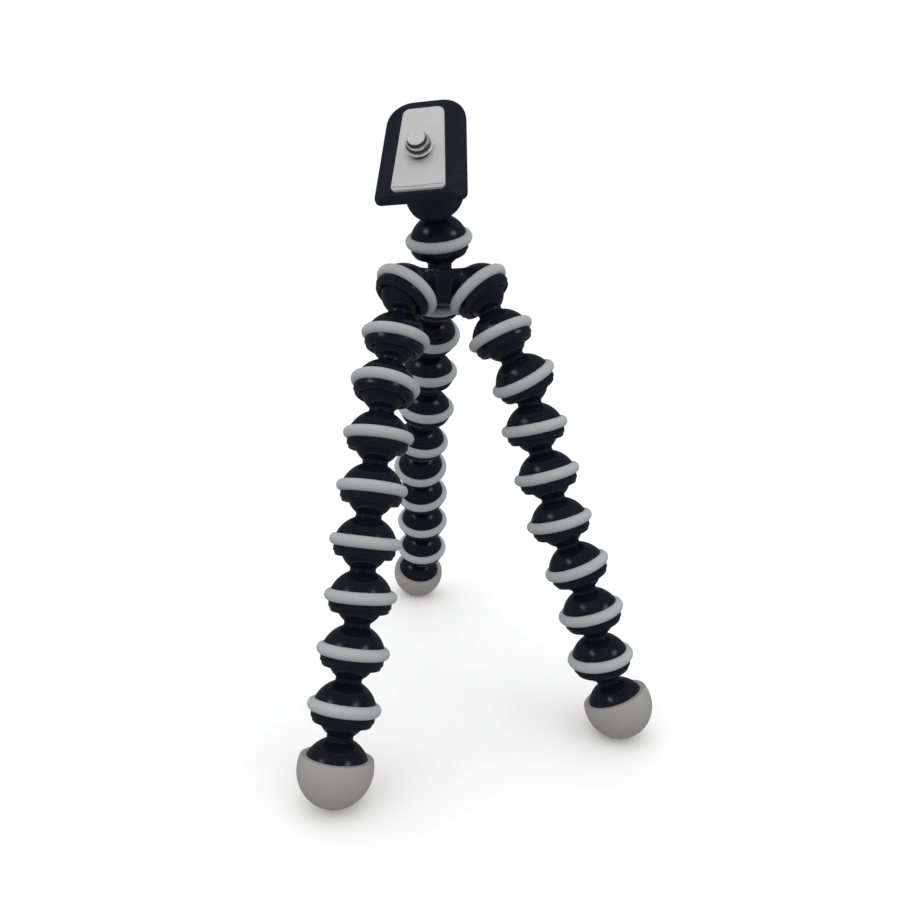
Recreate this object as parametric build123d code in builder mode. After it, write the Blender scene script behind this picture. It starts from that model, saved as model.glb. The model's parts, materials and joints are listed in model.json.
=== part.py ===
"""Flexible leg tripod: a hub, three legs of ball jointed links, a head link and a tilting camera plate."""
from build123d import *
import os
from math import acos, cos, degrees, radians, sin, sqrt

os.makedirs("parts", exist_ok=True)

# Links, in millimetres: a ball on top, a neck, and a socket with a rubber band round it
BAND_SEAT_R = 6.4       # bottom of the groove that holds the band
SOCKET_WALL = 0.75      # plastic between that groove and the ball's seat
SEAT_GAP = 0.05         # running clearance between a ball and its seat
BAND_H = 2.1            # how far the band stands out of its groove's bottom
BAND_W = 2.8
BAND_RISE = 1.4         # middle of the band above the centre of the seat
DOME_H = 1.2            # dome's outside over the groove's bottom
SKIRT_H = 0.95          # socket's outside at the band over the groove's bottom
SKIRT_LIP_H = 0.2       # and at its lower edge
SKIRT_DROP = 2.4        # lower edge below the centre of the seat
SKIRT_ROUND = 0.4
MOUTH_FLARE = 0.7       # bevel inside the socket's edge
NECK_R = 3.05
NECK_SINK = 0.6         # how far ball and dome would reach into each other
NECK_FILLET = 0.5

# Hub: a ball on a post, and three arms that end in sockets
ARM_REACH = 17.2        # from the ball to the centre of an arm's seat
ARM_SLOPE = 49          # degrees below level
ARM_NECK_R = 5.6
SHOULDER_DROP = 6.9     # flat top of the core below the ball's centre
CORE_R = 6.6
CORE_H = 3.6            # upright part of the core
TAIL_R = 4.2            # core's lower end
TAIL_H = 6.4            # tapering part of the core
TAIL_ROUND = 1.8

# Feet: a ball, a dome and a rubber boot
FOOT_DOME_R = 7.9
FOOT_NECK_SINK = 0.3    # how far ball and dome would reach into each other
FOOT_DOME_CUT = 1.6     # dome's cut end below its centre
BOOT_H = 0.85           # boot's outside over the dome's
BOOT_LIFT = 1.1         # boot's centre above the dome's
BOOT_OPEN_RISE = 2.5    # boot's upper edge above its centre
BOOT_LIP_ROUND = 0.5
FLAT_DEPTH = 0.5        # flat that the boot stands on

# Camera plate: a bowl over the head link's ball, a stem and a tapered plate
BOWL_WALL = 1.55
BOWL_DROP = 1.5         # its edge below the centre of its seat
BOWL_FLARE = 0.4
STEM_R = 5.4
STEM_FOOT_R = 8.0
STEM_FOOT_H = 1.8
PLATE_RISE = 11.4       # underside of the plate above the centre of the bowl
PLATE_W = 21.7          # at the heel, the plate's lower end
PLATE_TIP_W = 18.3
PLATE_HEEL_REACH = 11.3  # from the screw
PLATE_TIP_REACH = 16.3
PLATE_WALL_H = 1.2      # upright edge
PLATE_SLOPE_H = 2.2     # sloping flanks above it
PLATE_TIP_ROUND = 6.2
PLATE_HEEL_ROUND = 1.6
DECK_W = 13.5           # plate's flat upper face at the heel
DECK_TIP_W = 10.4
DECK_HEEL_INSET = 0.2   # from the plate's heel
DECK_TIP_INSET = 3.85
DECK_ROUND = 1.2        # its corners at the heel
DECK_TIP_ROUND = 2.2
PAD_MARGIN = 0.35       # deck left bare round the pad's bed
PAD_GAP = 0.1           # round the pad in its bed and round the screw in the pad
PAD_BED = 0.3           # depth of the bed
PAD_H = 0.8
PAD_EDGE_ROUND = 0.2

# Camera screw, 1/4 inch with 20 threads to the inch
INCH = 25.4
SCREW_D = INCH / 4
THREAD_PITCH = INCH / 20
THREAD_DEPTH = 0.75
SCREW_RISE = 4.2        # above the pad
SCREW_NOSE = 0.65       # bevel at the free end
UNDERCUT_H = 0.2        # plain neck above the pad, before the thread starts
SCREW_ROOT_R = 4.2      # round foot held in the plate, under the pad
SCREW_ROOT_H = 2.0
CREST_SHARE = 0.4       # how much of each turn is the crest
GROOVE_TIP_SHARE = 0.15

# The pose: degrees from straight down (legs) or straight up (head) and a compass heading,
# where 0 is along +X and 90 along +Y
HUB_TILT = (8, 106)
HUB_SPIN = 217          # heading of the first arm on the hub
HEAD_LEAN = (21, 251)
PLATE_LEAN = (58, 256)
PLATE_SPIN = 5.5
LEFT_LEANS = [(25, 250), (32, 252), (23, 257), (23, 257), (21, 255), (20, 261), (23, 254), (25, 253)]
LEFT_FOOT = (22, 253)
# the last link of the other two legs leans as far as brings their boots to the floor
RIGHT_LEANS = [(31, 328), (30, 1), (16, 328), (20, 327), (20, 327), (26, 336), (21, 333)]
RIGHT_LAST_HEADING = 331
RIGHT_FOOT = (26.5, 330)
BACK_LEANS = [(35, 102), (22, 94), (21, 98), (25, 107), (34, 91), (28, 85), (23, 88)]
BACK_LAST_HEADING = 92
BACK_FOOT = (25.5, 105)

SAME = 0.01             # lengths this close count as equal

# Sizes that follow
SEAT_R = BAND_SEAT_R - SOCKET_WALL
BALL_R = SEAT_R - SEAT_GAP
BAND_R = BAND_SEAT_R + BAND_H
DOME_R = BAND_SEAT_R + DOME_H
SKIRT_R = BAND_SEAT_R + SKIRT_H
SKIRT_LIP_R = BAND_SEAT_R + SKIRT_LIP_H
PITCH = BALL_R + DOME_R - NECK_SINK     # from a link's ball to the centre of its own seat
BOOT_R = FOOT_DOME_R + BOOT_H
FOOT_DOME_REACH = BALL_R + FOOT_DOME_R - FOOT_NECK_SINK     # from a foot's ball to its dome's centre
FOOT_CORE_END = FOOT_DOME_REACH + FOOT_DOME_CUT
BOOT_REACH = FOOT_DOME_REACH - BOOT_LIFT
BOWL_R = SEAT_R + BOWL_WALL
FOOT_HEIGHT = BOOT_R - FLAT_DEPTH
DECK_RISE = PLATE_RISE + PLATE_WALL_H + PLATE_SLOPE_H
PAD_BOTTOM = DECK_RISE - PAD_BED
PAD_TOP = PAD_BOTTOM + PAD_H
SCREW_R = SCREW_D / 2
THREADS = int((SCREW_RISE - SCREW_NOSE) / THREAD_PITCH)


def hanging(lean, heading):
    """Unit vector that leans away from straight down."""
    a, b = radians(lean), radians(heading)
    return Vector(sin(a) * cos(b), sin(a) * sin(b), -cos(a))


def standing(lean, heading):
    """Unit vector that leans away from straight up."""
    down = hanging(lean, heading)
    return Vector(down.X, down.Y, -down.Z)


def seat_plane(point, up):
    """Plane at a ball's centre: its normal runs up the piece and its x axis is level."""
    return Plane(origin=point, x_dir=Vector(-up.Y, up.X, 0), z_dir=up)


def arm_direction(k):
    """Way that one hub arm points, counted round the hub from the first."""
    axis = standing(*HUB_TILT)
    hub_plane = Plane(origin=(0, 0, 0), x_dir=(1, 0, 0), z_dir=axis)
    slope, turn = radians(ARM_SLOPE), radians(HUB_SPIN + 120 * k)
    return hub_plane.from_local_coords(Vector(cos(slope) * cos(turn), cos(slope) * sin(turn), -sin(slope)))


def leg_chain(k, leans, foot):
    """Ball centres and directions of a leg's pieces, from the hub's ball; the foot comes last."""
    centre = arm_direction(k) * ARM_REACH
    chain = []
    for lean in leans:
        chain.append((centre, hanging(*lean)))
        centre = centre + hanging(*lean) * PITCH
    chain.append((centre, hanging(*foot)))
    return chain


def boot_centre(chain):
    """Centre of the boot at the end of a leg."""
    ankle, direction = chain[-1]
    return ankle + direction * BOOT_REACH


def lean_to_level(k, leans, last_heading, foot, level):
    """Leans of a whole leg whose last link brings the boot's centre to the given level."""
    ball, _ = leg_chain(k, leans, foot)[-1]
    ankle_level = level - hanging(*foot).Z * BOOT_REACH
    last_lean = degrees(acos((ball.Z - ankle_level) / PITCH))
    return leans + [(last_lean, last_heading)]


chains = {"left": leg_chain(0, LEFT_LEANS, LEFT_FOOT)}
foot_level = boot_centre(chains["left"]).Z
right_leans = lean_to_level(1, RIGHT_LEANS, RIGHT_LAST_HEADING, RIGHT_FOOT, foot_level)
back_leans = lean_to_level(2, BACK_LEANS, BACK_LAST_HEADING, BACK_FOOT, foot_level)
chains["right"] = leg_chain(1, right_leans, RIGHT_FOOT)
chains["back"] = leg_chain(2, back_leans, BACK_FOOT)

# the origin is on the floor, in the middle of the box round the feet
boots = [boot_centre(chain) for chain in chains.values()]
middle_x = (min(p.X for p in boots) + max(p.X for p in boots)) / 2
middle_y = (min(p.Y for p in boots) + max(p.Y for p in boots)) / 2
hub_point = Vector(-middle_x, -middle_y, FOOT_HEIGHT - foot_level)
legs = {
    name: [(hub_point + ball, direction) for ball, direction in chain]
    for name, chain in chains.items()
}
hub_axis = standing(*HUB_TILT)
head_axis = standing(*HEAD_LEAN)
head_point = hub_point + head_axis * PITCH
plate_axis = standing(*PLATE_LEAN)


def draw_skirt(section, drop):
    """Swaps the lower part of a dome for a skirt round a seat below the origin, with the band's groove."""
    with Locations((0, BAND_RISE - drop)):
        Rectangle(2 * BAND_R, BAND_RISE + DOME_R, align=(Align.CENTER, Align.MAX), mode=Mode.SUBTRACT)
    with Locations((0, -drop)):
        Polygon(
            (-SKIRT_R, BAND_RISE), (-SKIRT_R, BAND_RISE - BAND_W / 2), (-SKIRT_LIP_R, -SKIRT_DROP),
            (SKIRT_LIP_R, -SKIRT_DROP), (SKIRT_R, BAND_RISE - BAND_W / 2), (SKIRT_R, BAND_RISE),
            align=None,
        )
    fillet(section.vertices().group_by(Axis.Y)[0], SKIRT_ROUND)
    with Locations((-BAND_SEAT_R, BAND_RISE - drop)):
        Rectangle(BAND_R, BAND_W, align=(Align.MAX, Align.CENTER), mode=Mode.SUBTRACT)
    with Locations((BAND_SEAT_R, BAND_RISE - drop)):
        Rectangle(BAND_R, BAND_W, align=(Align.MIN, Align.CENTER), mode=Mode.SUBTRACT)


def draw_ball_and_neck(section, reach, dome_r):
    """Draws a ball at the origin and a neck down to a dome, with the corners of the neck rounded."""
    Circle(BALL_R)
    Rectangle(2 * NECK_R, reach, align=(Align.CENTER, Align.MAX))
    with Locations((0, -reach)):
        Circle(dome_r)
    corners = section.vertices().filter_by(lambda v: abs(abs(v.X) - NECK_R) < SAME)
    fillet(corners, NECK_FILLET)


def keep_half():
    """Leaves the half of the open sketch that is to be revolved."""
    Rectangle(2 * BAND_R, 4 * PITCH, align=(Align.MIN, Align.CENTER), mode=Mode.INTERSECT)


def draw_seat(drop, flare):
    """Half section of the space left for a ball: the seat, and the bevel at its mouth."""
    edge_r = sqrt(SEAT_R**2 - (drop - flare)**2)
    Circle(SEAT_R)
    Polygon(
        (0, flare - drop), (edge_r, flare - drop), (edge_r + flare, -drop),
        (edge_r + flare, -drop - SEAT_R), (0, -drop - SEAT_R),
        align=None,
    )
    keep_half()


with BuildPart() as seat_space:
    with BuildSketch(Plane.XZ):
        draw_seat(SKIRT_DROP, MOUTH_FLARE)
    revolve(axis=Axis.Z)

# Rubber band, centred on the seat that it goes round
with BuildPart() as band_blank:
    with BuildSketch(Plane.XZ):
        with Locations((BAND_SEAT_R, BAND_RISE)):
            Rectangle(BAND_R - BAND_W / 2 - BAND_SEAT_R, BAND_W, align=(Align.MIN, Align.CENTER))
        with Locations((BAND_R - BAND_W / 2, BAND_RISE)):
            Circle(BAND_W / 2)
        with Locations((BAND_SEAT_R, BAND_RISE)):
            Rectangle(BAND_R, BAND_W, align=(Align.MAX, Align.CENTER), mode=Mode.SUBTRACT)
    revolve(axis=Axis.Z)

# Link: its own ball at the origin, its socket below
with BuildPart() as link_blank:
    with BuildSketch(Plane.XZ) as link_section:
        draw_ball_and_neck(link_section, PITCH, DOME_R)
        draw_skirt(link_section, PITCH)
        keep_half()
    revolve(axis=Axis.Z)
    add(Plane.XY.offset(-PITCH).location * seat_space.part, mode=Mode.SUBTRACT)

# Dome and skirt of one hub arm, centred on its seat
with BuildPart() as arm_blank:
    with BuildSketch(Plane.XZ) as arm_section:
        Circle(DOME_R)
        draw_skirt(arm_section, 0)
        keep_half()
    revolve(axis=Axis.Z)

# Foot's core, its ball at the origin
with BuildPart() as foot_blank:
    with BuildSketch(Plane.XZ) as foot_section:
        draw_ball_and_neck(foot_section, FOOT_DOME_REACH, FOOT_DOME_R)
        with Locations((0, -FOOT_CORE_END)):
            Rectangle(2 * BOOT_R, BOOT_R, align=(Align.CENTER, Align.MAX), mode=Mode.SUBTRACT)
        keep_half()
    revolve(axis=Axis.Z)

# Boot round the core, before the flat that it stands on
with BuildPart() as boot_blank:
    with BuildSketch(Plane.XZ) as boot_section:
        with Locations((0, -BOOT_REACH)):
            Circle(BOOT_R)
        with Locations((0, BOOT_OPEN_RISE - BOOT_REACH)):
            Rectangle(2 * BOOT_R, BOOT_R, align=(Align.CENTER, Align.MIN), mode=Mode.SUBTRACT)
        fillet(boot_section.vertices().group_by(Axis.Y)[-1], BOOT_LIP_ROUND)
        keep_half()
    revolve(axis=Axis.Z)
    add(foot_blank.part, mode=Mode.SUBTRACT)

# Hub, on its own axes with the ball at the origin
arm_planes = []
for k in range(3):
    turn = radians(HUB_SPIN + 120 * k)
    slope = radians(ARM_SLOPE)
    outward = Vector(cos(slope) * cos(turn), cos(slope) * sin(turn), -sin(slope))
    arm_planes.append(seat_plane(outward * ARM_REACH, -outward))
hub_plane = Plane(origin=hub_point, x_dir=(1, 0, 0), z_dir=hub_axis)

with BuildPart() as hub:
    for arm_plane in arm_planes:
        with BuildSketch(arm_plane):
            Circle(ARM_NECK_R)
    extrude(amount=ARM_REACH)
    split(bisect_by=Plane.XY.offset(-SHOULDER_DROP), keep=Keep.BOTTOM)
    with BuildSketch(Plane.XZ) as core_section:
        with BuildLine():
            Polyline(
                (0, -SHOULDER_DROP),
                (CORE_R, -SHOULDER_DROP),
                (CORE_R, -SHOULDER_DROP - CORE_H),
                (TAIL_R, -SHOULDER_DROP - CORE_H - TAIL_H),
                (0, -SHOULDER_DROP - CORE_H - TAIL_H),
                close=True,
            )
        make_face()
        fillet(core_section.vertices().group_by(Axis.Y)[0].sort_by(Axis.X)[-1], TAIL_ROUND)
    revolve(axis=Axis.Z)
    for arm_plane in arm_planes:
        add(arm_plane.location * arm_blank.part)
    with BuildSketch(Plane.XZ):
        Circle(BALL_R)
        Rectangle(2 * NECK_R, SHOULDER_DROP, align=(Align.CENTER, Align.MAX))
        keep_half()
    revolve(axis=Axis.Z)
    for arm_plane in arm_planes:
        add(arm_plane.location * seat_space.part, mode=Mode.SUBTRACT)


def draw_tapered(section, low_w, high_w, low_inset, high_inset, low_round, high_round, inset=0):
    """Outline of the plate in the open sketch, drawn smaller by the insets from its heel and its tip."""
    low = low_inset + inset - PLATE_HEEL_REACH
    high = PLATE_TIP_REACH - high_inset - inset
    Polygon(
        (inset - low_w / 2, low),
        (low_w / 2 - inset, low),
        (high_w / 2 - inset, high),
        (inset - high_w / 2, high),
        align=None,
    )
    fillet(section.vertices().group_by(Axis.Y)[0], low_round)
    fillet(section.vertices().group_by(Axis.Y)[-1], high_round)


def draw_deck(section, inset):
    """Outline of the plate's flat upper face, drawn smaller by an inset."""
    draw_tapered(
        section, DECK_W, DECK_TIP_W, DECK_HEEL_INSET, DECK_TIP_INSET, DECK_ROUND, DECK_TIP_ROUND, inset
    )


# Camera plate, with the centre of its bowl at the origin
with BuildPart() as plate_blank:
    with BuildSketch(Plane.XZ):
        Circle(BOWL_R)
        Rectangle(2 * STEM_R, PLATE_RISE, align=(Align.CENTER, Align.MIN))
        with BuildLine():
            Polyline(
                (0, PLATE_RISE - STEM_FOOT_H),
                (STEM_R, PLATE_RISE - STEM_FOOT_H),
                (STEM_FOOT_R, PLATE_RISE),
                (0, PLATE_RISE),
                close=True,
            )
        make_face()
        with Locations((0, -BOWL_DROP)):
            Rectangle(2 * BAND_R, BOWL_R, align=(Align.CENTER, Align.MAX), mode=Mode.SUBTRACT)
        keep_half()
    revolve(axis=Axis.Z)
    with BuildSketch(Plane.XZ):
        draw_seat(BOWL_DROP, BOWL_FLARE)
    revolve(axis=Axis.Z, mode=Mode.SUBTRACT)
    with BuildSketch(Plane.XY.offset(PLATE_RISE)) as plate_outline:
        draw_tapered(plate_outline, PLATE_W, PLATE_TIP_W, 0, 0, PLATE_HEEL_ROUND, PLATE_TIP_ROUND)
    extrude(amount=PLATE_WALL_H)
    with BuildSketch(Plane.XY.offset(PLATE_RISE + PLATE_WALL_H)) as slope_outline:
        draw_tapered(slope_outline, PLATE_W, PLATE_TIP_W, 0, 0, PLATE_HEEL_ROUND, PLATE_TIP_ROUND)
    with BuildSketch(Plane.XY.offset(DECK_RISE)) as deck_outline:
        draw_deck(deck_outline, 0)
    loft()
    with BuildSketch(Plane.XY.offset(DECK_RISE)) as bed_outline:
        draw_deck(bed_outline, PAD_MARGIN)
    extrude(amount=-PAD_BED, mode=Mode.SUBTRACT)
    with BuildSketch(Plane.XY.offset(PAD_BOTTOM)):
        Circle(SCREW_ROOT_R)
    extrude(amount=-SCREW_ROOT_H, mode=Mode.SUBTRACT)

with BuildPart() as pad_blank:
    with BuildSketch(Plane.XY.offset(PAD_BOTTOM)) as pad_outline:
        draw_deck(pad_outline, PAD_MARGIN + PAD_GAP)
        Circle(SCREW_R + PAD_GAP, mode=Mode.SUBTRACT)
    extrude(amount=PAD_H)
    fillet(pad_blank.faces().sort_by(Axis.Z)[-1].outer_wire().edges(), PAD_EDGE_ROUND)

# Screw: a round foot inside the plate, a plain neck through the pad, then rings of thread
with BuildPart() as screw_blank:
    with BuildSketch(Plane.XZ):
        with Locations((0, PAD_BOTTOM)):
            Rectangle(SCREW_ROOT_R, SCREW_ROOT_H, align=(Align.MIN, Align.MAX))
            Rectangle(SCREW_R - THREAD_DEPTH, PAD_H + SCREW_RISE, align=(Align.MIN, Align.MIN))
        with Locations((0, PAD_TOP + UNDERCUT_H)):
            Rectangle(SCREW_R, SCREW_RISE - UNDERCUT_H, align=(Align.MIN, Align.MIN))
        with Locations((SCREW_R, PAD_TOP + SCREW_RISE)):
            Polygon(
                (-SCREW_NOSE, 0), (0, 0), (0, -SCREW_NOSE),
                align=None, mode=Mode.SUBTRACT,
            )
        flank = THREAD_PITCH * (1 - CREST_SHARE) / 2
        tip = THREAD_PITCH * GROOVE_TIP_SHARE / 2
        with Locations([(SCREW_R, PAD_TOP + (i + 1) * THREAD_PITCH) for i in range(THREADS)]):
            Polygon(
                (0, flank), (-THREAD_DEPTH, tip), (-THREAD_DEPTH, -tip), (0, -flank),
                align=None, mode=Mode.SUBTRACT,
            )
    revolve(axis=Axis.Z)


def write_piece(name, solid):
    """Labels one finished piece and writes it."""
    solid.label = name
    export_step(solid, f"parts/{name}.step")


# The hub and its three bands share a file, as separate solids
hub_body = hub_plane.location * hub.part
hub_body.label = "hub_body"
hub_group = [hub_body]
for k, arm_plane in enumerate(arm_planes):
    arm_band = hub_plane.location * arm_plane.location * band_blank.part
    arm_band.label = f"arm_band_{k + 1}"
    hub_group.append(arm_band)
write_piece("hub", Compound(children=hub_group))

# Legs
for leg, chain in legs.items():
    for i, (ball, direction) in enumerate(chain[:-1]):
        place = seat_plane(ball, -direction).location
        seat = seat_plane(ball + direction * PITCH, -direction).location
        with BuildPart() as link:
            add(place * link_blank.part)
        write_piece(f"{leg}_link_{i + 1}", link.part)
        with BuildPart() as band:
            add(seat * band_blank.part)
        write_piece(f"{leg}_band_{i + 1}", band.part)
    ankle, direction = chain[-1]
    place = seat_plane(ankle, -direction).location
    with BuildPart() as foot:
        add(place * foot_blank.part)
    write_piece(f"{leg}_foot", foot.part)
    with BuildPart() as boot:
        add(place * boot_blank.part)
        split(bisect_by=Plane.XY, keep=Keep.TOP)
    write_piece(f"{leg}_boot", boot.part)

# Head link: the same link the other way up, its socket over the hub's ball
head_place = seat_plane(head_point, head_axis)
with BuildPart() as head_link:
    add(head_place.location * link_blank.part)
write_piece("head_link", head_link.part)
with BuildPart() as head_band:
    add(seat_plane(hub_point, head_axis).location * band_blank.part)
write_piece("head_band", head_band.part)

# Plate, pad and screw
plate_place = seat_plane(head_point, plate_axis).location * Location((0, 0, 0), (0, 0, PLATE_SPIN))
with BuildPart() as plate:
    add(plate_place * plate_blank.part)
write_piece("plate", plate.part)
with BuildPart() as plate_pad:
    add(plate_place * pad_blank.part)
write_piece("plate_pad", plate_pad.part)
with BuildPart() as camera_screw:
    add(plate_place * screw_blank.part)
write_piece("camera_screw", camera_screw.part)
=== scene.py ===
"""Flexible leg tripod: its looks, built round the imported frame."""

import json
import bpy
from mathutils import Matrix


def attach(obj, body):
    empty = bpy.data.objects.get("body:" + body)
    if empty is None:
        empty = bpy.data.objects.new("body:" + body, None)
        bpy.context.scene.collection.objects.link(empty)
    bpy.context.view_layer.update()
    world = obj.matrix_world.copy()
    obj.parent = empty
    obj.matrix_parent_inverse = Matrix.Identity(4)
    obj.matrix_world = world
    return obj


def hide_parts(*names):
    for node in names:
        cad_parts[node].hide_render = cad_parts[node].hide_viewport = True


bl_info = {
    "name": "Flexible leg tripod",
    "version": (1, 0, 0),
    "blender": (4, 5, 0),
    "location": "View3D > Sidebar > Tripod",
    "description": "Builds the visible pieces of a small tripod with three chains of ball jointed links",
    "category": "Object",
}

from contextlib import contextmanager
from math import asin, cos, degrees, pi, radians, sin, sqrt

import bmesh
import bpy
from mathutils import Matrix, Vector

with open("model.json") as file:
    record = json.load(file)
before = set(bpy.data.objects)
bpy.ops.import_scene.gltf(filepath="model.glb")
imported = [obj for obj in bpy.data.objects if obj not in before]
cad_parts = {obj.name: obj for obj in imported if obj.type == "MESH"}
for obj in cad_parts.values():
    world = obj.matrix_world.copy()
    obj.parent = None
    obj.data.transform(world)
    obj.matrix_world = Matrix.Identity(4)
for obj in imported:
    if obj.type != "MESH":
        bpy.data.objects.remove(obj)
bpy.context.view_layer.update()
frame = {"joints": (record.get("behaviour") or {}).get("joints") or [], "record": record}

LEGS = ("left", "right", "back")
LINKS_PER_LEG = 8
# lean from straight down and compass heading of each foot, in degrees
FOOT_LEANS = {"left": (22, 253), "right": (26.5, 330), "back": (25.5, 105)}
PLATE_SPIN = 5.5
MM = 0.001
# faces along the arcs of turned profiles
BALL_STEPS, FILLET_STEPS, DOME_STEPS, SEAT_STEPS, BOOT_STEPS = 30, 5, 18, 26, 40
CORNER_STEPS = 10       # faces round each corner of the plate
SPIN_RADIUS = 50 * MM   # circle that the profiles are swept round, taken off again in them
POST_SINK = 1.0 * MM    # how far the hub's post reaches into its shoulder
MERGE = 0.001 * MM      # points closer than this become one
CREASE = 42.0           # degrees between faces from which an edge stays sharp
JOINTS = {joint["child"]: joint for joint in frame["joints"]}
MOUNTS = {mount["name"]: mount for mount in frame["record"]["mounts"]}


def length(name, millimetres, description):
    """A length property whose default is given in millimetres."""
    return bpy.props.FloatProperty(
        name=name, description=description, default=millimetres * MM, min=0.0, unit="LENGTH", precision=5
    )


def colour(name, values, description):
    """A colour property."""
    return bpy.props.FloatVectorProperty(
        name=name, description=description, default=values, size=3, min=0.0, max=1.0, subtype="COLOR"
    )


def strength(name, value, description):
    """A light's strength property."""
    return bpy.props.FloatProperty(name=name, description=description, default=value, min=0.0, soft_max=10.0)


class TripodSizes(bpy.types.PropertyGroup):
    """Sizes of the links, feet, hub and camera plate."""
    ball_radius: length("Ball radius", 5.6, "Radius of every ball")
    seat_radius: length("Seat radius", 5.65, "Radius of the seat that a ball turns in")
    pitch: length("Pitch", 12.6, "Distance from a link's ball to the centre of its seat")
    dome_radius: length("Dome radius", 7.6, "Radius of the dome above a band")
    neck_radius: length("Neck radius", 3.05, "Radius of the neck under a ball")
    neck_round: length("Neck rounding", 0.5, "Rounding at both ends of a neck")
    skirt_radius: length("Skirt radius", 7.35, "Outside of a socket just below its band")
    lip_radius: length("Lip radius", 6.7, "Outside of a socket at its lower edge")
    rim_height: length("Rim height", 1.25, "Height of the wider rim under a band")
    rim_step: length("Rim step", 0.28, "How far that rim stands out of the skirt below it")
    skirt_drop: length("Skirt drop", 2.4, "Lower edge of a socket below the centre of its seat")
    mouth_flare: length("Mouth flare", 0.7, "Bevel inside a socket's mouth")
    band_radius: length("Band radius", 8.5, "Outside of a rubber band")
    band_width: length("Band width", 2.8, "Width of a rubber band along its socket")
    band_rise: length("Band rise", 1.4, "Middle of a band above the centre of its seat")
    band_seat_radius: length("Band seat radius", 6.4, "Inside of a rubber band")
    arm_reach: length("Arm reach", 17.2, "From the hub's ball to the centre of an arm's seat")
    arm_neck_radius: length("Arm neck radius", 5.6, "Radius of an arm between hub and dome")
    web_blend: length("Web blend", 3.4, "How softly the hub's arms run into each other")
    shoulder_drop: length("Shoulder drop", 6.9, "Flat shoulder of the hub below its ball")
    core_radius: length("Core radius", 6.6, "Radius of the hub's core")
    core_height: length("Core height", 8.5, "Height of the hub's core")
    boot_radius: length("Boot radius", 8.75, "Radius of a rubber boot")
    boot_reach: length("Boot reach", 12.1, "From a foot's ball to the centre of its boot")
    boot_open_rise: length("Boot opening", 2.5, "Upper edge of a boot above its centre")
    foot_dome_radius: length("Foot dome radius", 7.9, "Radius of the dome inside a boot")
    foot_dome_reach: length("Foot dome reach", 13.2, "From a foot's ball to the centre of its dome")
    foot_core_end: length("Foot core end", 14.8, "Cut end of a foot's core below its ball")
    bowl_radius: length("Bowl radius", 7.2, "Outside of the bowl under the camera plate")
    bowl_drop: length("Bowl drop", 1.5, "Edge of the bowl below the centre of its seat")
    bowl_flare: length("Bowl flare", 0.4, "Bevel inside the bowl's edge")
    stem_radius: length("Stem radius", 5.4, "Stem between bowl and plate")
    stem_foot_radius: length("Stem foot radius", 8.0, "Wide end of the stem under the plate")
    stem_foot_height: length("Stem foot height", 1.8, "Height of the stem's wide end")
    plate_rise: length("Plate rise", 11.4, "Underside of the plate above the centre of the bowl")
    plate_width: length("Plate width", 21.7, "Width of the plate at its heel")
    plate_tip_width: length("Plate tip width", 18.3, "Width of the plate at its tip")
    plate_heel: length("Plate heel", 11.3, "From the screw to the plate's heel")
    plate_tip: length("Plate tip", 16.3, "From the screw to the plate's tip")
    wall_height: length("Wall height", 1.2, "Upright edge of the plate")
    slope_height: length("Slope height", 2.2, "Height of the plate's sloping flanks")
    tip_round: length("Tip rounding", 6.2, "Corner radius at the plate's tip")
    heel_round: length("Heel rounding", 1.6, "Corner radius at the plate's heel")
    deck_width: length("Deck width", 13.5, "Flat upper face of the plate at its heel")
    deck_tip_width: length("Deck tip width", 10.4, "Flat upper face of the plate at its tip")
    deck_heel_inset: length("Deck heel inset", 0.2, "From the plate's heel to its flat upper face")
    deck_tip_inset: length("Deck tip inset", 3.85, "From the plate's tip to its flat upper face")
    deck_round: length("Deck rounding", 1.2, "Corner radius of the flat upper face at its heel")
    deck_tip_round: length("Deck tip rounding", 2.2, "Corner radius of the flat upper face at its tip")
    pad_margin: length("Pad margin", 0.35, "Deck left bare round the pad's bed")
    pad_gap: length("Pad gap", 0.1, "Gap round the pad in its bed")
    pad_bed: length("Pad bed", 0.3, "Depth of the pad's bed")
    pad_height: length("Pad height", 0.8, "Thickness of the pad")
    screw_radius: length("Screw radius", 3.175, "Radius over the camera screw's thread")
    thread_pitch: length("Thread pitch", 1.27, "Pitch of the camera screw's thread")
    thread_depth: length("Thread depth", 0.75, "Depth of the thread's groove")
    screw_rise: length("Screw rise", 4.2, "Height of the camera screw above the pad")
    screw_nose: length("Screw nose", 0.65, "Bevel at the screw's free end")
    screw_root_radius: length("Screw root radius", 4.2, "Round foot of the screw, under the pad")
    screw_root_height: length("Screw root height", 2.0, "Height of the screw's round foot")
    round_steps: bpy.props.IntProperty(
        name="Round steps", description="Faces round a turned piece", default=112, min=12, max=256
    )


class TripodFinishes(bpy.types.PropertyGroup):
    """Colours of the materials and the strength of the lights."""
    plastic: colour("Plastic", (0.0050, 0.0052, 0.0130), "Glossy plastic of hub and links")
    plate_plastic: colour("Plate plastic", (0.0064, 0.0064, 0.0235), "Satin plastic of the camera plate")
    band_rubber: colour("Band rubber", (0.375, 0.384, 0.396), "Rubber bands round the sockets")
    boot_rubber: colour("Boot rubber", (0.302, 0.295, 0.278), "Rubber boots")
    pad_rubber: colour("Pad rubber", (0.475, 0.473, 0.480), "Rubber pad under the camera")
    steel: colour("Steel", (0.86, 0.86, 0.88), "Camera screw")
    floor: colour("Floor", (0.93, 0.93, 0.93), "Floor")
    backdrop: strength("Backdrop", 1.0, "Brightness of the backdrop behind the floor")
    sky: strength("Sky", 1.20, "Even light from above")
    bounce: strength("Bounce", 0.42, "Share of that light that comes from below")
    gleam: strength("Gleam", 0.10, "How much of the room glossy plastic reflects")
    side_lamps: strength("Side lamps", 0.24, "Power of each softbox at the sides, in watts")


def chosen(context):
    """Sizes and finishes that the scene holds."""
    return context.scene.tripod_sizes, context.scene.tripod_finishes


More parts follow.
